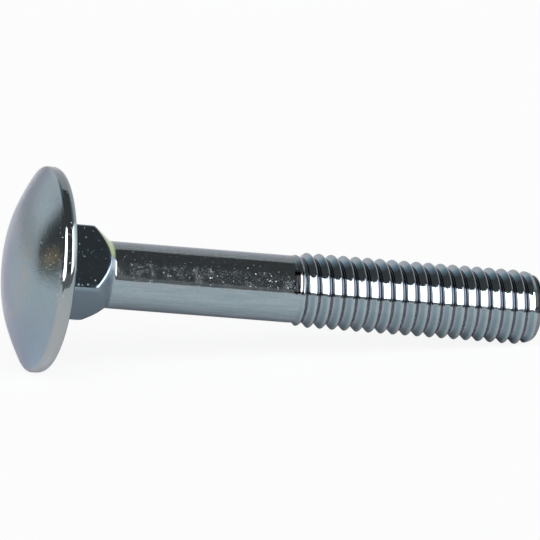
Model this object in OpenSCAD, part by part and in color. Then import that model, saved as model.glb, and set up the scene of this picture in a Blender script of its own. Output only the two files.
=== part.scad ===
// Carriage bolt, metric size 6 with 1 mm pitch, 40 mm nominal length, lying on its rim and its thread.
// Each sub-part is drawn with its axis along Z and the bearing face of the head at Z = 0, thread upward,
// and the whole bolt is then laid down as it comes to rest, with the floor at Z = 0.

/* [Head] */
// Diameter of the domed head
head_d = 16.1; // [14:0.1:18]
// Height of the dome above the bearing face
head_h = 3.4; // [2.8:0.1:4.5]
// Diameter at which the flatter crown bends into the skirt
crown_d = 10; // [8:0.1:11.5]
// Drop of the crown from its apex to that bend
crown_drop = 0.78; // [0.4:0.02:1]
// Rise of the skirt's curve above a straight line
skirt_bulge = 0.07; // [0.02:0.01:0.15]
// Height of the straight wall of the rim
rim_wall_h = 0.5; // [0.1:0.05:0.7]
// Rounding of the rim's edge on the dome side
rim_round = 0.2; // [0.15:0.01:0.5]
// Rounding of the rim's edge on the bearing side
rim_under_round = 0.4; // [0.2:0.01:0.6]

/* [Neck] */
// Width of the square neck across its flats
neck_w = 5.75; // [5.5:0.05:7]
// Length of the neck up to where its corners begin to taper
neck_l = 3; // [2:0.1:6]
// Rounding of the neck's four corners
neck_round = 0.4; // [0.1:0.05:0.8]
// Angle between the taper of the corners and the bolt's axis
neck_taper = 40.4; // [30:0.2:50]
// Turn of the square about the axis, from a corner pointing at the floor
neck_turn = 8; // [0:0.1:45]

/* [Shank] */
// Length of the bolt under its head
bolt_l = 39.7; // [32:0.1:80]
// Diameter of the plain shank, which is the blank that the thread is rolled on
shank_d = 5.28; // [5.1:0.02:5.5]
// Fillet between the neck's taper and the shank
shank_fillet = 0.45; // [0.2:0.05:0.8]

/* [Thread] */
// Diameter over the thread's crests
thread_d = 5.88; // [5.8:0.02:6]
// Distance from one crest to the next
thread_pitch = 1; // [0.8:0.05:1.25]
// Depth of the thread, from crest to root
thread_depth = 0.57; // [0.45:0.01:0.6]
// Length of the thread, with its run-out onto the shank
thread_l = 20.8; // [12:0.2:24]
// Length over which the thread runs out onto the shank
runout_l = 1.9; // [0.5:0.1:3]
// Turn of the thread about the axis
thread_turn = 116; // [0:2:358]
// Length of the rounded end
tip_l = 1.9; // [0.6:0.1:2.4]
// Diameter of the flat at the end
tip_d = 4.6; // [3.6:0.1:5]

/* [Quality] */
// Steps of the thread around one turn
thread_steps = 36; // [24:4:48]
// Steps of each rounded edge in the outline
round_steps = 6; // [3:1:12]
// Sides of the revolved outlines
ring_sides = 96; // [48:8:144]
// Sides of a full circle at the neck's corners
corner_sides = 48; // [24:4:96]

/* [Hidden] */
zinc = "#aeb9bf";

head_r = head_d / 2;
shank_r = shank_d / 2;
thread_r = thread_d / 2;
root_r = thread_r - thread_depth;
tip_r = tip_d / 2;
thread_start = bolt_l - thread_l;
// Depth to which the neck is carried up inside the head
neck_sink = 1;
// Depth to which the thread is carried back inside the plain shank, and its play there
thread_sink = 0.6;
ring_play = 0.02;
// Share of a pitch that rows of the thread keep from its two end rings
end_gap = 0.04;

// Points of an arc about a centre, from one angle to another, in the plane of radius and height
function arc(centre, r, from, to, steps) =
    [for (i = [0:steps]) let (a = from + (to - from) * i / steps) centre + r * [cos(a), sin(a)]];

// Points of a curve that bulges to the left of the line from p to q, without its first point
function bulged(p, q, bulge, steps) =
    let (across = [p[1] - q[1], q[0] - p[0]] / norm(q - p))
    [for (i = [1:steps]) let (t = i / steps) p + t * (q - p) + 4 * t * (1 - t) * bulge * across];

// Points of a smooth turn from p to q that keeps to the corner between them, ends left out
function eased(p, corner, q, steps) =
    [for (i = [1:steps - 1]) let (t = i / steps)
        (1 - t) * (1 - t) * p + 2 * t * (1 - t) * corner + t * t * q];

// Head outline: crown, bend, skirt, rim and bearing face, with heights measured up from the bearing face
crown_r = crown_d / 2;
crown_sphere_r = (crown_r * crown_r + crown_drop * crown_drop) / (2 * crown_drop);
crown_slope = asin(crown_r / crown_sphere_r);
bend = [crown_r, head_h - crown_drop];
rim_centre = [head_r - rim_round, rim_under_round + rim_wall_h];
skirt_run = rim_centre - bend;
skirt_slope = asin(rim_round / norm(skirt_run)) + atan2(-skirt_run[1], skirt_run[0]);
skirt_end = rim_centre + rim_round * [sin(skirt_slope), cos(skirt_slope)];
// Half of the length over which the crown eases into the skirt
bend_half = 0.5;
crown_end_slope = asin((crown_r - bend_half) / crown_sphere_r);
crown_points = arc([0, head_h - crown_sphere_r], crown_sphere_r, 90, 90 - crown_end_slope, 2 * round_steps);
skirt_points = bulged(bend, skirt_end, skirt_bulge, 2 * round_steps);
rim_points = arc(rim_centre, rim_round, 90 - skirt_slope, 0, round_steps);
under_points =
    arc([head_r - rim_under_round, rim_under_round], rim_under_round, 0, -90, 2 * round_steps);
// The skirt's last point is the rim's first, and the turn at the bend takes the place of its first ones
skirt_kept = [
    for (i = [0:len(skirt_points) - 2]) if (skirt_points[i][0] > crown_r + 0.9 * bend_half) skirt_points[i]];
dome_points = concat(
    crown_points,
    eased(crown_points[len(crown_points) - 1], bend, skirt_kept[0], round_steps),
    skirt_kept, rim_points, under_points);
// The head lies below Z = 0, so its heights turn downward
head_outline = concat([for (p = dome_points) [p[0], -p[1]]], [[0, 0]]);

// Neck outline: a cone that cuts the corners, then the fillet and the plain shank
neck_corner_r = neck_w / sqrt(2) - neck_round * (sqrt(2) - 1);
function taper_z(r) = neck_l + (neck_corner_r - r) / tan(neck_taper);
fillet_centre = [shank_r + shank_fillet, taper_z(shank_r) + shank_fillet * tan(neck_taper / 2)];
// Radius that the revolved outline keeps outside the square
clear_r = neck_corner_r + neck_round;
neck_outline = concat(
    [[0, -neck_sink], [clear_r, -neck_sink], [clear_r, taper_z(clear_r)]],
    arc(fillet_centre, shank_fillet, 180 + neck_taper, 180, round_steps),
    [[shank_r, thread_start], [0, thread_start]]);

// Thread profile over one pitch: place from the middle of the crest, and share of the full depth
profile = [[0, 0], [0.1, 0.06], [0.38, 0.9], [0.5, 1], [0.62, 0.9], [0.9, 0.06]];
turns = ceil(thread_l / thread_pitch) + 1;

// How far the thread has formed, from 0 on the plain shank to 1
function formed(z) = min(1, max(0, (z - thread_start) / runout_l));

// Radius of the rounded end's envelope
function tip_envelope(z) =
    let (t = max(0, (z - bolt_l + tip_l) / tip_l)) tip_r + (thread_r - tip_r) * sqrt(max(0, 1 - t * t));

// Radius of the thread where the profile has gone down by a share of its depth
function thread_radius(z, share) =
    min(tip_envelope(z), shank_r + formed(z) * (thread_r - share * thread_depth - shank_r));

// Column of points up the thread at one step of the turn, as radius and height
function column(step) =
    let (
        rise = thread_pitch * (step / thread_steps + thread_turn / 360 - 1),
        rows = [for (n = [0:turns], p = profile) [thread_start + rise + thread_pitch * (n + p[0]), p[1]]],
        gap = end_gap * thread_pitch)
    concat(
        [[shank_r - ring_play, thread_start - thread_sink]],
        [for (row = rows) if (row[0] > thread_start + gap && row[0] < bolt_l - gap)
            [thread_radius(row[0], row[1]), row[0]]],
        [[tip_r, bolt_l]]);

columns = [for (step = [0:thread_steps - 1]) column(step)];
// Number of the first point of each column in the list of all points
firsts = [for (step = 0, sum = 0; step < thread_steps; sum = sum + len(columns[step]), step = step + 1) sum];

// Triangles between two neighbouring columns, taking the lower of the two next points each time
function strip(a, b, first_a, first_b) = [
    for (i = 0, j = 0, on_a = a[1][1] <= b[1][1];
         i + j < len(a) + len(b) - 2;
         i = i + (on_a ? 1 : 0), j = j + (on_a ? 0 : 1),
         on_a = i < len(a) - 1 && (j >= len(b) - 1 || a[i + 1][1] <= b[j + 1][1]))
    on_a ? [first_a + i, first_a + i + 1, first_b + j] : [first_a + i, first_b + j + 1, first_b + j]];

thread_points = [
    for (step = [0:thread_steps - 1], p = columns[step])
    let (a = 360 * step / thread_steps) [p[0] * cos(a), p[0] * sin(a), p[1]]];
thread_faces = concat(
    [for (step = [0:thread_steps - 1]) let (next = (step + 1) % thread_steps)
        each strip(columns[step], columns[next], firsts[step], firsts[next])],
    [[for (step = [0:thread_steps - 1]) firsts[step]]],
    [[for (step = [thread_steps - 1:-1:0]) firsts[step] + len(columns[step]) - 1]]);

// The bolt rests on the lowest point of its rim and of one crest: of all lines from the rim to a point
// of the lowest column, the one that tips the bolt least touches both and cuts neither
function tilt_to(crest) =
    max([for (p = head_outline) if (p[0] > crest[0]) atan2(p[0] - crest[0], crest[1] - p[1])]);
rest_tilt = min([for (p = columns[0]) tilt_to(p)]);
rest_drop = max([for (p = head_outline) p[0] * cos(rest_tilt) + p[1] * sin(rest_tilt)]);
// Furthest reach of the crown behind the bearing face and of the end ahead of it, along the floor
reach_back = crown_sphere_r - (crown_sphere_r - head_h) * cos(rest_tilt);
reach_ahead = bolt_l * cos(rest_tilt) + tip_r * sin(rest_tilt);

module rounded_square(w, r) {
    square([w - 2 * r, w], center = true);
    square([w, w - 2 * r], center = true);
    for (x = [-1, 1], y = [-1, 1])
        translate([x, y] * (w / 2 - r)) circle(r = r, $fn = corner_sides);
}

module head() {
    rotate_extrude($fn = ring_sides) polygon(head_outline);
}

module neck_and_shank() {
    intersection() {
        translate([0, 0, -neck_sink])
            rotate(45 + neck_turn)
                linear_extrude(thread_start + neck_sink) rounded_square(neck_w, neck_round);
        rotate_extrude($fn = ring_sides) polygon(neck_outline);
    }
}

module thread() {
    polyhedron(points = thread_points, faces = thread_faces, convexity = 4);
}

module carriage_bolt() {
    color(zinc)
        translate([(reach_back - reach_ahead) / 2, 0, rest_drop])
            rotate([0, 90 + rest_tilt, 0])
                union() {
                    head();
                    neck_and_shank();
                    thread();
                }
}

carriage_bolt();
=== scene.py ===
"""Looks of a zinc-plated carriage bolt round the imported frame: one fine mesh stands for the CAD node."""

import math
from types import SimpleNamespace

import bpy
import numpy as np
from mathutils import Euler, Matrix, Vector


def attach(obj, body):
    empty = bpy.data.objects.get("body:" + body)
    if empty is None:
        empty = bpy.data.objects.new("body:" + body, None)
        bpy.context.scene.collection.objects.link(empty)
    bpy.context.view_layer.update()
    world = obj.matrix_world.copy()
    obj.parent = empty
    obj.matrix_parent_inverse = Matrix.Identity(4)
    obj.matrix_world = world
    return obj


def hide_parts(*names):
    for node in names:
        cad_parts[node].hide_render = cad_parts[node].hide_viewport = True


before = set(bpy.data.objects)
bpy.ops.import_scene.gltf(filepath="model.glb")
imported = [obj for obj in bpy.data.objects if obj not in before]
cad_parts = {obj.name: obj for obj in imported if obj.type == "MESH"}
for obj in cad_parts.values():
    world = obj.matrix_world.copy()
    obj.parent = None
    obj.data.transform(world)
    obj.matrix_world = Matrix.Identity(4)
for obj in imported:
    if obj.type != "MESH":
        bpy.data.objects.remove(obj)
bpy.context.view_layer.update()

MM = 0.001

# Sizes of the bolt in millimetres, as in the part's source
HEAD_R, HEAD_H = 8.05, 3.4
CROWN_R, CROWN_DROP, SKIRT_BULGE, BEND_HALF = 5.0, 0.78, 0.07, 0.5
RIM_TOP, RIM_ROUND, RIM_UNDER_ROUND = 0.9, 0.2, 0.4
NECK_W, NECK_L, NECK_ROUND = 5.75, 3.0, 0.4
NECK_TAPER, NECK_TURN = math.radians(40.4), math.radians(8.0)
BOLT_L, SHANK_R, SHANK_FILLET = 39.7, 2.64, 0.45
THREAD_R, THREAD_L = 2.94, 20.8
TIP_L, TIP_R = 1.9, 2.3
THREAD_START = BOLT_L - THREAD_L

# Finer sizes that only this file has, in millimetres
RIM_UNDER_LONG = 0.52
NECK_FOOT_ROUND, NECK_EDGE_ROUND = 0.16, 0.055
DISH_DEPTH = 0.16
# Height of the first row of the end, and the room that the thread's rows leave before it and after the shank
END_ROW = BOLT_L - 0.07
THREAD_ROOM_LOW, THREAD_ROOM_HIGH = 0.02, 0.09

# The thread as the photograph shows it: pitch, depth, and turn in degrees
PITCH, THREAD_DEPTH, THREAD_TURN = 1.006, 0.4, 101.0
# Where its crest and its groove start, measured from its start, and the lengths over which they form
CREST_START, CREST_RISE = 0.3, 1.5
GROOVE_START, GROOVE_FALL = 0.5, 1.6
# How much narrower the first ridges are, as an exponent of the profile
FIRST_RIDGES = 2.5
# Its profile over one pitch: place from the middle of the crest, and share of the full depth
PROFILE = [
    (0.0, 0.0), (0.04, 0.02), (0.08, 0.07), (0.13, 0.17), (0.19, 0.34), (0.27, 0.6), (0.34, 0.8),
    (0.39, 0.91), (0.43, 0.97), (0.47, 1.0), (0.51, 0.975), (0.55, 0.915), (0.6, 0.825), (0.66, 0.7),
    (0.72, 0.565), (0.78, 0.43), (0.84, 0.295), (0.89, 0.18), (0.93, 0.09), (0.97, 0.025)]

# Columns of the mesh round the bolt, and those that are added on both sides of each of the neck's corners
COLUMNS, CORNER_COLUMNS, CORNER_STEP = 136, 5, math.radians(1.0)
# Columns closer to the last one than this are left out
LEAST_STEP = math.radians(0.3)
# Rows of neighbouring columns closer than this in height are joined by a four-sided face
QUAD_GAP = 0.7 * PITCH / len(PROFILE)

# Where the bolt lies: tip of its axis towards the floor, and the middle of its bearing face
REST_TILT, REST_DROP, REST_X = math.radians(7.56532), 7.93075, -18.072
REST_TURN = Euler((0, math.pi / 2 + REST_TILT, 0))
REST_POSE = Matrix.LocRotScale(Vector((REST_X, 0, REST_DROP)) * MM, REST_TURN, None)

# Camera fitted to the photograph's outline
AZIMUTH, ELEVATION = math.radians(-15.3105), math.radians(11.5694)
CAMERA_MM, LENS_MM, SENSOR_MM = 697.7, 597.2, 36.0
AIM_RIGHT, AIM_UP = 17.102, -0.002


def arc(centre, radius, start, end, steps):
    """Points of an arc in the plane of radius and height, angles in degrees."""
    a = np.radians(np.linspace(start, end, steps + 1))
    return np.c_[centre[0] + radius * np.cos(a), centre[1] + radius * np.sin(a)]


def head_rows():
    """Radius and place along the axis, from beside the dome's apex to the outer edge of the bearing face."""
    sphere = (CROWN_R**2 + CROWN_DROP**2) / (2 * CROWN_DROP)
    bend = np.array([CROWN_R, HEAD_H - CROWN_DROP])
    rim = np.array([HEAD_R - RIM_ROUND, RIM_TOP])
    run = rim - bend
    slope = math.asin(RIM_ROUND / math.hypot(*run)) + math.atan2(-run[1], run[0])
    skirt_end = rim + RIM_ROUND * np.array([math.sin(slope), math.cos(slope)])
    crown_end = math.degrees(math.asin((CROWN_R - BEND_HALF) / sphere))
    crown = arc((0, HEAD_H - sphere), sphere, 90, 90 - crown_end, 22)
    run = skirt_end - bend
    across = np.array([-run[1], run[0]]) / math.hypot(*run)
    t = np.linspace(BEND_HALF / run[0], 1, 19)[:-1, None]
    skirt = bend + t * run + 4 * t * (1 - t) * SKIRT_BULGE * across
    t = np.linspace(0, 1, 11)[1:-1, None]
    ease = (1 - t) ** 2 * crown[-1] + 2 * t * (1 - t) * bend + t * t * skirt[0]
    edge = arc(rim, RIM_ROUND, 90 - math.degrees(slope), 0, 9)
    # The rounding of the bearing edge starts high on the wall, so it is drawn as half an ellipse
    under = arc((0, 0), 1, 0, -90, 16) * (RIM_UNDER_ROUND, RIM_UNDER_LONG)
    under += (HEAD_R - RIM_UNDER_ROUND, RIM_UNDER_LONG)
    rows = np.concatenate([crown[1:], ease, skirt, edge, under])
    rows[:, 1] *= -1
    return rows


CORNER_R = NECK_W / math.sqrt(2) - NECK_ROUND * (math.sqrt(2) - 1)


def cone_radius(z):
    """Radius of the cone that cuts the neck's corners."""
    return CORNER_R - (z - NECK_L) * math.tan(NECK_TAPER)


def taper_z(radius):
    """Height at which that cone has a radius."""
    return NECK_L + (CORNER_R - radius) / math.tan(NECK_TAPER)


def square_radius(angle):
    """Distance from the axis to the side of the rounded square, at an angle about the axis."""
    off = abs((angle - NECK_TURN) % (math.pi / 2) - math.pi / 4)
    half = NECK_W / 2
    flat = half / math.cos(off)
    inner = half - NECK_ROUND
    if flat * math.sin(off) <= inner:
        return flat
    reach = inner * math.sqrt(2)
    to_corner = math.pi / 4 - off
    return reach * math.cos(to_corner) + math.sqrt(NECK_ROUND**2 - (reach * math.sin(to_corner)) ** 2)


def neck_rows(angle):
    """Rows from the bearing face to the start of the thread, at one angle about the axis."""
    side = square_radius(angle)
    cut = taper_z(side)
    fillet_z = taper_z(SHANK_R) + SHANK_FILLET * math.tan(NECK_TAPER / 2)
    fillet_start = fillet_z - SHANK_FILLET * math.sin(NECK_TAPER)
    foot = side + NECK_FOOT_ROUND
    rows = [(foot + (HEAD_R - RIM_UNDER_ROUND - foot) * s, 0.0) for s in (0.75, 0.5, 0.25, 0.06)]
    rows += [tuple(p) for p in arc((foot, NECK_FOOT_ROUND), NECK_FOOT_ROUND, 270, 180, 5)]
    # Rows crowd round the edge between the flat and the taper, which is softened by a small radius
    for share in (0.01, 0.03, 0.07, 0.15, 0.28, 0.45, 0.62, 0.78, 0.88, 0.93, 0.96, 0.98, 1.0):
        rows.append((side, NECK_FOOT_ROUND + share * (cut - NECK_FOOT_ROUND)))
    for share in (0.02, 0.05, 0.1, 0.2, 0.35, 0.5, 0.65, 0.8, 0.9):
        z = cut + share * (fillet_start - cut)
        rows.append((cone_radius(z), z))
    out = []
    for r, z in rows:
        if z > NECK_FOOT_ROUND * 1.5:
            cone = cone_radius(z)
            away = abs(side - cone) / (2.2 * NECK_EDGE_ROUND)
            r = min(side, cone) - NECK_EDGE_ROUND * math.exp(-(away**2)) * 0.5
        out.append((r, z))
    centre = (SHANK_R + SHANK_FILLET, fillet_z)
    out += [tuple(p) for p in arc(centre, SHANK_FILLET, 180 + math.degrees(NECK_TAPER), 180, 9)]
    out += [(SHANK_R, z) for z in np.linspace(fillet_z, THREAD_START, 18)[1:]]
    return out


def formed(z, start, length):
    """How far a part of the thread has formed, from 0 to 1, with an eased start and end."""
    t = min(1.0, max(0.0, (z - THREAD_START - start) / length))
    return t * t * (3 - 2 * t)


def thread_radius(z, share):
    """Radius of the thread at a height, where its profile has gone down by a share of its depth."""
    rise = formed(z, CREST_START, CREST_RISE)
    crest = SHANK_R + rise * (THREAD_R - SHANK_R)
    root = SHANK_R + formed(z, GROOVE_START, GROOVE_FALL) * (THREAD_R - THREAD_DEPTH - SHANK_R)
    t = max(0.0, (z - BOLT_L + TIP_L) / TIP_L)
    envelope = TIP_R + (THREAD_R - TIP_R) * math.sqrt(max(0.0, 1 - t * t))
    return min(envelope, root + (1 - share) ** (1 + FIRST_RIDGES * (1 - rise)) * (crest - root))


def thread_rows(angle):
    """Rows of the thread at one angle. They follow the helix, so their ends differ from angle to angle."""
    rise = PITCH * (angle / (2 * math.pi) + THREAD_TURN / 360 - 1)
    rows = []
    for n in range(math.ceil(THREAD_L / PITCH) + 2):
        for u, share in PROFILE:
            z = THREAD_START + rise + PITCH * (n + u)
            if THREAD_START + THREAD_ROOM_LOW < z < BOLT_L - THREAD_ROOM_HIGH:
                rows.append((thread_radius(z, share), z))
    return rows


def tip_rows():
    """Rows that close the bolt: its last edge, then the end face with its shallow dish."""
    rows = [(thread_radius(z, 0.0), z) for z in (END_ROW, BOLT_L - 0.04, BOLT_L - 0.018, BOLT_L - 0.005)]
    rows += [(TIP_R - 0.03, BOLT_L), (TIP_R - 0.2, BOLT_L), (TIP_R - 0.35, BOLT_L - 0.01)]
    for share in (0.8, 0.7, 0.58, 0.45, 0.3, 0.15):
        rows.append((TIP_R * share, BOLT_L - DISH_DEPTH * (1 - share**2) ** 0.7))
    return rows


def column_angles():
    """Angles of the columns: even steps, with more of them at the neck's four corners."""
    angles = [2 * math.pi * k / COLUMNS for k in range(COLUMNS)]
    for corner in range(4):
        for k in range(-CORNER_COLUMNS, CORNER_COLUMNS + 1):
            angles.append((NECK_TURN + corner * math.pi / 2 + k * CORNER_STEP) % (2 * math.pi))
    angles.sort()
    kept = [angles[0]]
    for a in angles[1:]:
        if a - kept[-1] > LEAST_STEP:
            kept.append(a)
    return kept


def thread_strip(start_a, heights_a, start_b, heights_b):
    """Faces between two columns of the thread, taking the lower of the two next points each time."""
    faces = []
    i = k = 0
    while i < len(heights_a) or k < len(heights_b):
        next_a = heights_a[i] if i < len(heights_a) else math.inf
        next_b = heights_b[k] if k < len(heights_b) else math.inf
        a, b = start_a + i, start_b + k
        if max(next_a, next_b) < math.inf and abs(next_a - next_b) < QUAD_GAP:
            faces.append((a, a + 1, b + 1, b))
            i, k = i + 1, k + 1
        elif next_a <= next_b:
            faces.append((a, a + 1, b))
            i += 1
        else:
            faces.append((a, b + 1, b))
            k += 1
    return faces


def even_strip(start_a, start_b, count):
    """Four-sided faces between two columns whose rows match."""
    return [(start_a + n, start_a + n + 1, start_b + n + 1, start_b + n) for n in range(count)]


def bolt_mesh():
    """One closed mesh, drawn with Z along the bolt from the bearing face, and laid down as it rests."""
    head = [tuple(p) for p in head_rows()]
    tip = tip_rows()
    apex, dish = 0, 1
    verts = [(0.0, 0.0, -HEAD_H), (0.0, 0.0, BOLT_L - DISH_DEPTH)]
    columns = []
    for angle in column_angles():
        plain = head + neck_rows(angle)
        thread = thread_rows(angle)
        columns.append((len(verts), len(plain), [z for r, z in thread] + [END_ROW]))
        c, s = math.cos(angle), math.sin(angle)
        verts.extend((r * c, r * s, z) for r, z in plain + thread + tip)
    faces = []
    for j, (a, plain_a, heights_a) in enumerate(columns):
        b, plain_b, heights_b = columns[(j + 1) % len(columns)]
        faces.append((apex, a, b))
        faces += even_strip(a, b, plain_a - 1)
        last_a, last_b = a + plain_a - 1, b + plain_b - 1
        faces += thread_strip(last_a, heights_a, last_b, heights_b)
        end_a, end_b = last_a + len(heights_a), last_b + len(heights_b)
        faces += even_strip(end_a, end_b, len(tip) - 1)
        faces.append((end_a + len(tip) - 1, dish, end_b + len(tip) - 1))
    mesh = bpy.data.meshes.new("bolt")
    mesh.from_pydata([(x * MM, y * MM, z * MM) for x, y, z in verts], [], faces)
    mesh.flip_normals()
    mesh.transform(REST_POSE)
    mesh.polygons.foreach_set("use_smooth", [True] * len(mesh.polygons))
    mesh.update()
    return mesh


class Nodes:
    """Short ways to build a node tree. A value is a socket or a number, and a colour may be three numbers."""

    def __init__(self, tree):
        self.tree = tree

    def new(self, kind):
        return self.tree.nodes.new(kind)

    def feed(self, socket, value):
        if isinstance(value, bpy.types.NodeSocket):
            self.tree.links.new(value, socket)
        else:
            socket.default_value = value

    def calc(self, operation, *values, clamp=False):
        node = self.new("ShaderNodeMath")
        node.operation, node.use_clamp = operation, clamp
        for socket, value in zip(node.inputs, values):
            self.feed(socket, value)
        return node.outputs[0]

    def times(self, first, *others):
        for other in others:
            first = self.calc("MULTIPLY", first, other)
        return first

    def plus(self, first, *others):
        for other in others:
            first = self.calc("ADD", first, other)
        return first

    def less(self, first, second):
        return self.calc("SUBTRACT", first, second)

    def dot(self, vector, direction):
        node = self.new("ShaderNodeVectorMath")
        node.operation = "DOT_PRODUCT"
        self.tree.links.new(vector, node.inputs[0])
        node.inputs[1].default_value = direction
        return node.outputs["Value"]

    def ramp(self, value, low, high, to_low=0.0, to_high=1.0, smooth=True):
        """Value mapped from a range to another and kept inside it."""
        node = self.new("ShaderNodeMapRange")
        node.interpolation_type = "SMOOTHSTEP" if smooth else "LINEAR"
        for socket, given in zip(node.inputs, (value, low, high, to_low, to_high)):
            self.feed(socket, given)
        return node.outputs[0]

    def window(self, value, low, high, soft_low, soft_high):
        """1 between two limits, 0 outside them, with soft edges."""
        rise = self.ramp(value, low - soft_low, low + soft_low)
        fall = self.ramp(value, high - soft_high, high + soft_high, 1.0, 0.0)
        return self.times(rise, fall)

    def mix(self, factor, a, b):
        """Mix of two values."""
        node = self.new("ShaderNodeMix")
        node.data_type = "FLOAT"
        for index, value in ((0, factor), (2, a), (3, b)):
            self.feed(node.inputs[index], value)
        return node.outputs[0]

    def tint(self, factor, under, over):
        """Mix of two colours."""
        node = self.new("ShaderNodeMix")
        node.data_type = "RGBA"
        self.feed(node.inputs[0], factor)
        for index, colour in ((6, under), (7, over)):
            plain = not isinstance(colour, bpy.types.NodeSocket)
            self.feed(node.inputs[index], (*colour, 1) if plain else colour)
        return node.outputs[2]

    def stretched(self, vector, factors):
        node = self.new("ShaderNodeVectorMath")
        node.operation = "MULTIPLY"
        self.tree.links.new(vector, node.inputs[0])
        node.inputs[1].default_value = factors
        return node.outputs[0]

    def noise(self, vector, scale, detail=2.0, output=0):
        node = self.new("ShaderNodeTexNoise")
        node.inputs["Scale"].default_value = scale
        node.inputs["Detail"].default_value = detail
        self.tree.links.new(vector, node.inputs["Vector"])
        return node.outputs[output]

    def pits(self, vector, scale, radius, share):
        """Depth of small round pits, in a share of the cells of a pattern."""
        node = self.new("ShaderNodeTexVoronoi")
        node.inputs["Scale"].default_value = scale
        self.tree.links.new(vector, node.inputs["Vector"])
        split = self.new("ShaderNodeSeparateColor")
        self.tree.links.new(node.outputs["Color"], split.inputs[0])
        there = self.calc("LESS_THAN", split.outputs[0], share)
        return self.times(there, self.ramp(node.outputs["Distance"], radius * scale, 0.0))

    def bump(self, height, depth, normal=None):
        """Normal bent by a height, with its depth in millimetres."""
        node = self.new("ShaderNodeBump")
        node.inputs["Distance"].default_value = depth * MM
        self.tree.links.new(height, node.inputs["Height"])
        if normal is not None:
            self.tree.links.new(normal, node.inputs["Normal"])
        return node.outputs[0]


# Directions: the bolt's axis, right, away and back in the camera's view, then near and above across the axis
AXIS = Vector((math.cos(REST_TILT), 0, -math.sin(REST_TILT)))
RIGHT = Vector((math.cos(AZIMUTH), math.sin(AZIMUTH), 0))
AWAY = Vector((-math.sin(AZIMUTH), math.cos(AZIMUTH), 0))
BACK = Vector((0, 0, math.sin(ELEVATION))) - math.cos(ELEVATION) * AWAY
NEAR = (BACK - BACK.dot(AXIS) * AXIS).normalized()
ABOVE = NEAR.cross(AXIS)


def compass(azimuth, elevation):
    """Direction at an angle from +X towards -Y, and an angle above the floor."""
    az, el = math.radians(azimuth), math.radians(elevation)
    return Vector((math.cos(el) * math.cos(az), -math.cos(el) * math.sin(az), math.sin(el)))


def seen_from_bolt(along_axis, turn):
    """Direction by its share along the bolt's axis and its turn about it, from the camera's side upward."""
    t = math.radians(turn)
    return along_axis * AXIS + math.sqrt(1 - along_axis**2) * (math.cos(t) * NEAR + math.sin(t) * ABOVE)


# Straight edges of the studio, each as the normal of the plane through the bolt and that edge
BACKDROP_EDGE = seen_from_bolt(0.28, 102).cross(compass(-145, 12)).normalized()
BOX_A_TOP = compass(180, 15).cross(seen_from_bolt(0.2, 48)).normalized()
BOX_A_SIDE = compass(103, 0)
BOX_B_TOP = seen_from_bolt(0.35, 48).cross(compass(-12, 17)).normalized()
BOX_B_SIDE = compass(78, 0)
LOW_LEFT_EDGE = compass(124, 0)
WARM_THING = compass(-160, 9)
# Shares along the axis between which the dark gap of the two soft boxes lies
BOX_A_END, BOX_B_START = 0.19, 0.36
# Levels of the dark room, of its right side, and of each soft box in the metal and for the floor
DARK_ROOM, ROOM_RIGHT = 0.085, 0.2
BOX_A_LEVEL, BOX_B_LEVEL, BOX_B_FAR_LEVEL, BOX_GIVEN = 8.0, 4.5, 1.3, 2.5
# Colours of the blurred edge of the backdrop and of the warm thing
WHITE, EDGE_BLUE, WARM_BROWN = (1, 1, 1), (0.6, 0.85, 1), (0.65, 0.36, 0.1)


def backdrop_and_room(g, where, a, z):
    """Level of the pale backdrop and the dark room, and the share of blue at their blurred edge."""
    # The backdrop, brighter at the horizon but for a dip on the left, ends along one straight edge overhead
    dip = g.times(g.ramp(a, 0.15, -0.15), g.ramp(z, 0.35, 0.1, -0.12, 0.22))
    backdrop = g.less(g.ramp(z, 0.0, 0.86, 0.86, 0.48, smooth=False), dip)
    # That edge is sharp for the plain shank, and blurred and bluish higher up, where the thread shows it
    gap = g.window(a, 0.2, 0.36, 0.03, 0.03)
    blurred = g.times(g.ramp(z, 0.43, 0.48), g.less(1.0, gap))
    soft = g.mix(blurred, g.ramp(a, 0.1, -0.8, 0.02, 0.05), 0.27)
    shift = g.less(soft, g.times(blurred, 0.12))
    edge = g.plus(g.dot(where, BACKDROP_EDGE), shift)
    front = g.calc("DIVIDE", edge, g.times(soft, 2.0), clamp=True)
    # Low on the left the backdrop reaches further round
    low_left = g.times(g.ramp(a, -0.4, -0.55), g.ramp(z, 0.5, 0.44))
    further = g.times(low_left, g.ramp(g.dot(where, LOW_LEFT_EDGE), 0.06, -0.1))
    front = g.times(front, g.less(1.0, further))
    room = g.mix(g.ramp(a, 0.36, 0.5), g.ramp(z, 0.08, 0.12, 0.22, DARK_ROOM), ROOM_RIGHT)
    blue = g.times(blurred, front, g.less(1.0, front), 3.6)
    return g.mix(front, backdrop, room), blue


def soft_boxes(g, where, a, z):
    """Masks of the two soft boxes, which stand on the table and have one straight upper edge each."""
    low = g.ramp(z, 0.045, 0.08)
    masks = []
    ends = ((BOX_A_TOP, BOX_A_END, (1, 0), BOX_A_SIDE), (BOX_B_TOP, BOX_B_START, (0, 1), BOX_B_SIDE))
    for top, end, levels, side in ends:
        below = g.ramp(g.dot(where, top), -0.015, 0.015, 1, 0)
        beside = g.ramp(a, end - 0.01, end + 0.01, *levels)
        masks.append(g.times(low, below, beside, g.ramp(g.dot(where, side), -0.02, 0.02)))
    return masks


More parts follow.
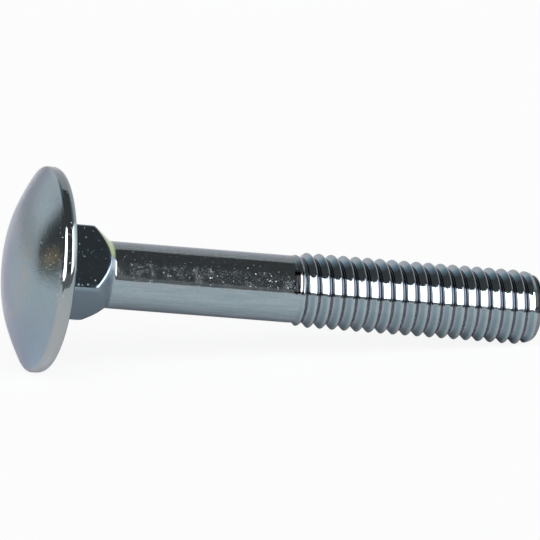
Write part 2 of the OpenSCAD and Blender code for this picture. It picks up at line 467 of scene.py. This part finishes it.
def make_world():
    """A small studio by direction: pale backdrop behind, dark room in front and above, two soft boxes."""
    world = bpy.data.worlds.new("studio")
    bpy.context.scene.world = world
    world.use_nodes = True
    g = Nodes(world.node_tree)
    g.tree.nodes.clear()
    where = g.new("ShaderNodeTexCoord").outputs["Generated"]
    path = g.new("ShaderNodeLightPath").outputs
    a = g.dot(where, AXIS)
    z = g.dot(where, (0, 0, 1))

    level, blue = backdrop_and_room(g, where, a, z)
    box_a, box_b = soft_boxes(g, where, a, z)
    fade = g.ramp(a, 0.6, 0.75, BOX_B_LEVEL, BOX_B_FAR_LEVEL)
    for box, shown in ((box_a, BOX_A_LEVEL), (box_b, fade)):
        level = g.mix(box, level, g.mix(path["Is Glossy Ray"], BOX_GIVEN, shown))

    # A small warm thing stands in the dark room on the left
    warm = g.ramp(g.dot(where, WARM_THING), math.cos(math.radians(4.5)), math.cos(math.radians(1.5)))
    level = g.mix(warm, level, 1.0)
    colour = g.tint(warm, g.tint(blue, WHITE, EDGE_BLUE), WARM_BROWN)
    # The camera sees plain white
    shade = g.new("ShaderNodeBackground")
    g.feed(shade.inputs["Color"], g.tint(path["Is Camera Ray"], colour, WHITE))
    g.feed(shade.inputs["Strength"], g.mix(path["Is Camera Ray"], level, 1.0))
    g.feed(g.new("ShaderNodeOutputWorld").inputs[0], shade.outputs[0])


def principled(name, colour, roughness, metallic=0.0):
    """A new material, the builder of its nodes, and its shader."""
    material = bpy.data.materials.new(name)
    material.use_nodes = True
    shader = material.node_tree.nodes["Principled BSDF"]
    shader.inputs["Base Color"].default_value = (*colour, 1)
    shader.inputs["Roughness"].default_value = roughness
    shader.inputs["Metallic"].default_value = metallic
    return material, Nodes(material.node_tree), shader


def bolt_place(g):
    """Place in the bolt's own axes, in millimetres: Z from the bearing face to the end, X down as it lies."""
    node = g.new("ShaderNodeMapping")
    back = REST_POSE.inverted()
    node.inputs["Location"].default_value = back.translation / MM
    node.inputs["Rotation"].default_value = back.to_euler()
    node.inputs["Scale"].default_value = (1 / MM, 1 / MM, 1 / MM)
    g.feed(node.inputs["Vector"], g.new("ShaderNodeTexCoord").outputs["Object"])
    return node.outputs[0]


# Tints of the plate
ZINC, BLUE, VIOLET, TAN = (0.33, 0.41, 0.45), (0.36, 0.45, 0.55), (0.19, 0.205, 0.29), (0.42, 0.40, 0.37)
PALE_CLOUD, PALE_LINES = (0.39, 0.42, 0.42), (0.44, 0.50, 0.525)
DARK_SMEARS, DARK_MOTTLE, DULL_SPOTS = (0.27, 0.33, 0.37), (0.27, 0.34, 0.38), (0.36, 0.34, 0.33)
NECK_STEEL, TAPER_GREEN, TIP_GREEN = (0.24, 0.31, 0.36), (0.6, 0.7, 0.38), (0.44, 0.49, 0.27)
RIM_GREY, RIM_TAN = (0.38, 0.42, 0.43), (0.46, 0.47, 0.46)
# Painted light and shade of the thread, each below and above, or for the crest outside and inside LIT, and of
# the run-out
NEAR_SLOPE = (0.25, 0.34, 0.385), (0.36, 0.43, 0.48)
CREST = (0.42, 0.47, 0.48), (0.08, 0.085, 0.105)
FAR_SLOPE = (0.26, 0.29, 0.31), (0.035, 0.038, 0.048)
ROOT = (0.38, 0.37, 0.42), (0.03, 0.03, 0.035)
FIRST_SHADE_BAND, SECOND_SHADE_BAND = (0.014, 0.014, 0.016), (0.035, 0.031, 0.026)
# Heights between which the head gives way to the neck, the neck to the shaft, and the shank to the thread
HEAD_EDGE, SHAFT_EDGE, THREAD_EDGE = (-0.06, -0.02), (4.2, 4.6), (THREAD_START + 0.6, THREAD_START + 1.4)
# Radii between which the dome gives way to the rim
RIM_EDGE = (7.7, 7.9)
# Range of X, which points down, in which the near side of the lying bolt shows the soft boxes
LIT = (-1.8, -0.14)
# Places of the slopes and the groove in one turn of the thread, from 0 at a crest to 1 at the next
FAR_SLOPE_AT, ROOT_AT, NEAR_SLOPE_AT = (0.16, 0.44), (0.45, 0.56), (0.58, 0.85)
# Heights of the run-out's two bands of painted shade and of its turning marks
FIRST_BAND_AT = THREAD_START + 0.24, THREAD_START + 0.74
SECOND_BAND_AT = THREAD_START + 0.83, THREAD_START + 0.99
TURNING_MARKS_AT = THREAD_START + 0.4, THREAD_START + 1.5
# Roughness of the shaft, the dome, the rim above and below, and the thread's far slopes
GLOSSY, SATIN, BRIGHT_RIM, LOW_RIM, ROUGH_SLOPE = 0.06, 0.1, 0.03, 0.2, 0.25
# Heights of the relief, in millimetres
LINE_DEPTH, GRAIN_DEPTH, WAVE_DEPTH, MARK_DEPTH, PIT_DEPTH = 0.003, 0.004, 0.006, 0.04, 0.012


def zinc_zones(g):
    """Places on the bolt, masks of its zones, and the patterns that the plate's looks are made of."""
    place = bolt_place(g)
    split = g.new("ShaderNodeSeparateXYZ")
    g.feed(split.inputs[0], place)
    x, y, z = split.outputs
    m = SimpleNamespace(place=place, x=x, y=y, z=z)
    m.radius = g.calc("SQRT", g.plus(g.times(x, x), g.times(y, y)))
    m.head = g.ramp(z, *HEAD_EDGE, 1.0, 0.0)
    m.rim = g.times(m.head, g.ramp(m.radius, *RIM_EDGE))
    m.shaft = g.ramp(z, *SHAFT_EDGE)
    m.thread = g.ramp(z, *THREAD_EDGE)
    m.plain = g.less(1.0, m.thread)
    # The upper side of the lying bolt, and the height at which its near side shows the soft boxes
    m.upper = g.ramp(x, 0.0, -0.2)
    m.lit = g.window(x, *LIT, 0.1, 0.05)

    # Place across one turn of the thread, from 0 at a crest to 1 at the next
    turned = g.times(g.calc("ARCTAN2", y, x), 1 / (2 * math.pi))
    pitches = g.times(g.less(z, THREAD_START), 1 / PITCH)
    u = g.calc("FRACT", g.less(pitches, g.plus(turned, THREAD_TURN / 360)))
    m.crest = g.times(m.thread, g.plus(g.ramp(u, 0.9, 0.96), g.ramp(u, 0.13, 0.17, 1.0, 0.0)))
    m.far_slope = g.times(m.thread, g.window(u, *FAR_SLOPE_AT, 0.03, 0.02))
    m.root = g.times(m.thread, g.window(u, *ROOT_AT, 0.02, 0.02))
    m.near_slope = g.times(m.thread, g.window(u, *NEAR_SLOPE_AT, 0.04, 0.04))

    m.broad = g.noise(place, 0.35)
    m.cloud = g.noise(place, 1.3, 4.0)
    m.mottle = g.noise(place, 4.5, 3.0)
    m.grain = g.less(g.noise(place, 9.0, 4.0), 0.5)
    m.lines = g.noise(g.stretched(place, (1, 1, 0.06)), 5.0)
    m.smears = g.noise(g.stretched(place, (1, 1, 0.2)), 1.6, 3.0)
    spots = g.ramp(g.noise(g.stretched(place, (1, 1, 0.6)), 5.0, 6.0), 0.46, 0.62)
    # Dull spots of the plate, kept to the upper side: the lower side, where the metal shows the pale table,
    # stays brighter without them, a painted light
    m.dull = g.times(m.shaft, m.plain, m.upper, spots)
    return m


def zinc_colour(g, m):
    """Base colour, built up tint by tint, painted light and shade among them."""
    # Passivation: blue below on the dome, violet on its far side, tan in rings; the violet is also a painted
    # shade, dark to dim the far edge's reflection
    colour = g.tint(g.times(m.head, g.ramp(m.x, 0.0, 5.0), 0.6), ZINC, BLUE)
    far = g.plus(g.times(g.less(m.broad, 0.5), 4.0), m.y)
    far = g.times(m.head, g.ramp(far, -3.0, 1.2), g.ramp(m.x, -4.0, 2.5, 0.3, 0.9))
    colour = g.tint(far, colour, VIOLET)
    ring = g.times(m.head, g.window(m.radius, 2.6, 4.4, 0.7, 0.7), g.ramp(m.cloud, 0.42, 0.58))
    colour = g.tint(g.times(ring, 0.6), colour, TAN)
    # Clouds, streaks and mottling
    colour = g.tint(g.times(g.ramp(m.cloud, 0.5, 0.72), 0.35), colour, PALE_CLOUD)
    colour = g.tint(g.times(g.ramp(m.lines, 0.35, 0.65), m.shaft, 0.55), colour, PALE_LINES)
    colour = g.tint(g.times(g.ramp(m.smears, 0.45, 0.7), m.shaft, m.plain, 0.3), colour, DARK_SMEARS)
    colour = g.tint(g.times(g.ramp(m.mottle, 0.4, 0.7), 0.3), colour, DARK_MOTTLE)
    # Dull spots, on the upper side only: partly painted light
    colour = g.tint(g.times(m.dull, 0.7), colour, DULL_SPOTS)
    # The neck is darker, and yellow-green marks the upper side of its taper and of the bolt's end
    colour = g.tint(g.window(m.z, 0.0, 4.1, 0.02, 0.3), colour, NECK_STEEL)
    cone = g.plus(m.z, g.times(m.radius, 1 / math.tan(NECK_TAPER)))
    taper = g.times(g.ramp(cone, taper_z(0) - 0.12, taper_z(0) - 0.04), g.window(m.z, 2.5, 4.6, 0.4, 0.1))
    colour = g.tint(g.times(taper, g.ramp(m.x, -1.6, -2.1, 0.0, 0.9)), colour, TAPER_GREEN)
    tip = g.times(g.ramp(m.z, BOLT_L - 1.4, BOLT_L - 0.6), g.ramp(m.x, 0.3, -1.2), g.ramp(m.broad, 0.3, 0.5))
    colour = g.tint(tip, colour, TIP_GREEN)
    # The rim is greyer, and tan below
    colour = g.tint(g.times(m.rim, 0.7), colour, RIM_GREY)
    colour = g.tint(g.times(m.rim, g.ramp(m.x, 0.0, 2.0), 0.7), colour, RIM_TAN)
    # Painted light and shade in the thread, by how the metal shows the soft boxes above and below: dark on
    # the slopes that face the end and on crests, violet grey in the groove
    painted_shades = (
        (m.near_slope, m.upper, NEAR_SLOPE), (m.crest, m.lit, CREST),
        (m.far_slope, m.upper, FAR_SLOPE), (m.root, m.upper, ROOT))
    for where, side, (below, above) in painted_shades:
        colour = g.tint(where, colour, g.tint(side, below, above))
    # Painted shade: two dark bands at the run-out, inside LIT only, where the metal shows the soft boxes
    first = g.times(g.window(m.z, *FIRST_BAND_AT, 0.05, 0.03), m.lit)
    colour = g.tint(first, colour, FIRST_SHADE_BAND)
    second = g.times(g.window(m.z, *SECOND_BAND_AT, 0.03, 0.03), m.lit)
    return g.tint(second, colour, SECOND_SHADE_BAND)


def zinc_roughness(g, m):
    """Roughness: glossy on neck and shaft, satin on the dome and low on the rim, dull on the far slopes."""
    rough = g.mix(m.head, GLOSSY, SATIN)
    rough = g.mix(m.rim, rough, g.ramp(m.x, 0.5, 3.0, BRIGHT_RIM, LOW_RIM))
    rough = g.mix(m.far_slope, rough, ROUGH_SLOPE)
    return g.plus(rough, g.times(g.ramp(m.cloud, 0.35, 0.7), 0.04), g.times(m.dull, 0.03))


def zinc_relief(g, m):
    """Normal bent by drawing lines, grain, waves of the forging, turning marks at the run-out, and pits."""
    normal = g.bump(g.times(m.lines, m.shaft), LINE_DEPTH)
    on_shank = g.times(m.shaft, m.plain, g.ramp(m.cloud, 0.4, 0.65, 0.2, 0.8))
    amount = g.plus(on_shank, 0.3, g.times(m.head, 2.0))
    bright_rim = g.times(m.rim, g.ramp(m.x, 1.0, -0.5), 0.85)
    normal = g.bump(g.times(m.grain, g.times(amount, g.less(1.0, bright_rim))), GRAIN_DEPTH, normal)
    cast = g.times(m.rim, g.ramp(m.x, 0.5, 3.0), m.mottle)
    wavy = g.times(g.less(m.cloud, 0.5), g.plus(g.times(m.shaft, 0.4), m.head))
    normal = g.bump(g.plus(wavy, cast), WAVE_DEPTH, normal)
    run_out = g.window(m.z, *TURNING_MARKS_AT, 0.2, 0.3)
    marks = g.noise(g.stretched(m.place, (0.5, 0.5, 4.0)), 1.5)
    normal = g.bump(g.times(marks, run_out), MARK_DEPTH, normal)

    shifted = g.new("ShaderNodeVectorMath")
    g.feed(shifted.inputs[0], m.place)
    g.feed(shifted.inputs[1], g.stretched(g.noise(m.place, 4.0, output="Color"), (0.25, 0.25, 0.25)))
    shifted = shifted.outputs[0]
    specks = g.plus(g.pits(shifted, 2.4, 0.055, 0.3), g.pits(shifted, 6.5, 0.03, 0.15))
    specks = g.plus(specks, g.times(g.pits(shifted, 3.5, 0.05, 0.35), m.head))
    # More pits lie in a row beside the neck's front corner
    corner = g.dot(m.place, (math.cos(NECK_TURN), math.sin(NECK_TURN), 0))
    on_neck = g.times(g.ramp(m.z, 4.4, 4.0), g.ramp(m.radius, 3.0, 3.2), g.ramp(m.z, 0.0, 0.3))
    row = g.times(g.window(corner, -0.32, -0.05, 0.05, 0.03), on_neck)
    specks = g.plus(specks, g.times(g.pits(shifted, 5.0, 0.06, 0.6), row))
    return g.bump(g.times(specks, m.plain), -PIT_DEPTH, normal)


def zinc_material():
    """Bright zinc plate: satin on the dome, shinier on the neck, shank and thread, with faint tints, and
    painted light and shade on the thread and its run-out.
    """
    material, g, shader = principled("zinc_plate", ZINC, SATIN, 1.0)
    m = zinc_zones(g)
    g.feed(shader.inputs["Base Color"], zinc_colour(g, m))
    g.feed(shader.inputs["Roughness"], zinc_roughness(g, m))
    g.feed(shader.inputs["Normal"], zinc_relief(g, m))
    shader.inputs["Specular Tint"].default_value = (0.88, 0.87, 0.93, 1)
    return material


# Stage, in metres: the floor, and the strip of it that the metal shows as the table's dark front
FLOOR_SIZE, FRONT_START, FRONT_DEPTH, FRONT_LIFT, FRONT_LEVEL = 8.0, 0.05, 3.95, 0.0002, 0.22
# Colours of the paper, plain and where the metal shows it under the bolt, and its white for the camera
PAPER, SHADED_PAPER, CAMERA_WHITE = (0.93, 0.93, 0.93), (0.2, 0.2, 0.21), 0.88


def plane(name, size_x, size_y, centre):
    mesh = bpy.data.meshes.new(name)
    x, y = size_x / 2, size_y / 2
    mesh.from_pydata([(-x, -y, 0), (x, -y, 0), (x, y, 0), (-x, y, 0)], [], [(0, 1, 2, 3)])
    obj = bpy.data.objects.new(name, mesh)
    obj.location = centre
    bpy.context.scene.collection.objects.link(obj)
    return obj


def emission(g, level):
    node = g.new("ShaderNodeEmission")
    node.inputs["Color"].default_value = (*WHITE, 1)
    node.inputs["Strength"].default_value = level
    return node.outputs[0]


def make_floor():
    """White paper, which the camera sees nearly white with its shadows."""
    floor = plane("floor", FLOOR_SIZE, FLOOR_SIZE, (0, 0, 0))
    material, g, shader = principled("floor_paper", PAPER, 0.9)
    shader.inputs["Specular IOR Level"].default_value = 0.0
    path = g.new("ShaderNodeLightPath").outputs
    # Under and behind the bolt the metal shows the paper deeper in shade
    spot = g.new("ShaderNodeSeparateXYZ")
    g.feed(spot.inputs[0], g.new("ShaderNodeTexCoord").outputs["Object"])
    under = g.window(spot.outputs[0], -0.016, 0.03, 0.006, 0.01)
    behind = g.window(spot.outputs[1], -0.002, 0.055, 0.006, 0.025)
    shaded = g.times(under, behind, path["Is Glossy Ray"], 0.6)
    g.feed(shader.inputs["Base Color"], g.tint(shaded, PAPER, SHADED_PAPER))
    both = g.new("ShaderNodeMixShader")
    g.feed(both.inputs[0], g.times(path["Is Camera Ray"], CAMERA_WHITE))
    g.feed(both.inputs[1], shader.outputs[0])
    g.feed(both.inputs[2], emission(g, 1.0))
    g.feed(g.tree.nodes["Material Output"].inputs["Surface"], both.outputs[0])
    floor.data.materials.append(material)


def make_dark_front():
    """The table's dark front edge, which shows in the metal only."""
    card = plane("dark_front", FLOOR_SIZE, FRONT_DEPTH, (0, -FRONT_START - FRONT_DEPTH / 2, FRONT_LIFT))
    card.visible_camera = card.visible_diffuse = card.visible_shadow = card.visible_transmission = False
    material = bpy.data.materials.new("dark_front")
    material.use_nodes = True
    g = Nodes(material.node_tree)
    g.tree.nodes.clear()
    g.feed(g.new("ShaderNodeOutputMaterial").inputs[0], emission(g, FRONT_LEVEL))
    card.data.materials.append(material)


def make_camera():
    """Camera at the place fitted to the photograph."""
    up = BACK.cross(RIGHT)
    data = bpy.data.cameras.new("camera")
    data.lens, data.sensor_width, data.sensor_fit = LENS_MM, SENSOR_MM, "HORIZONTAL"
    data.clip_start, data.clip_end = 0.01, 20.0
    camera = bpy.data.objects.new("camera", data)
    aim = Vector((REST_X, 0, REST_DROP)) + AIM_RIGHT * RIGHT + AIM_UP * up
    place = Matrix((RIGHT, up, BACK)).transposed().to_4x4()
    place.translation = (aim + CAMERA_MM * BACK) * MM
    camera.matrix_world = place
    bpy.context.scene.collection.objects.link(camera)
    bpy.context.scene.camera = camera


scene = bpy.context.scene
scene.view_settings.view_transform = "Standard"
make_camera()
make_world()
make_floor()
make_dark_front()
bolt = bpy.data.objects.new("bolt", bolt_mesh())
scene.collection.objects.link(bolt)
bolt.data.materials.append(zinc_material())
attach(bolt, "root")
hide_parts("carriage_bolt")
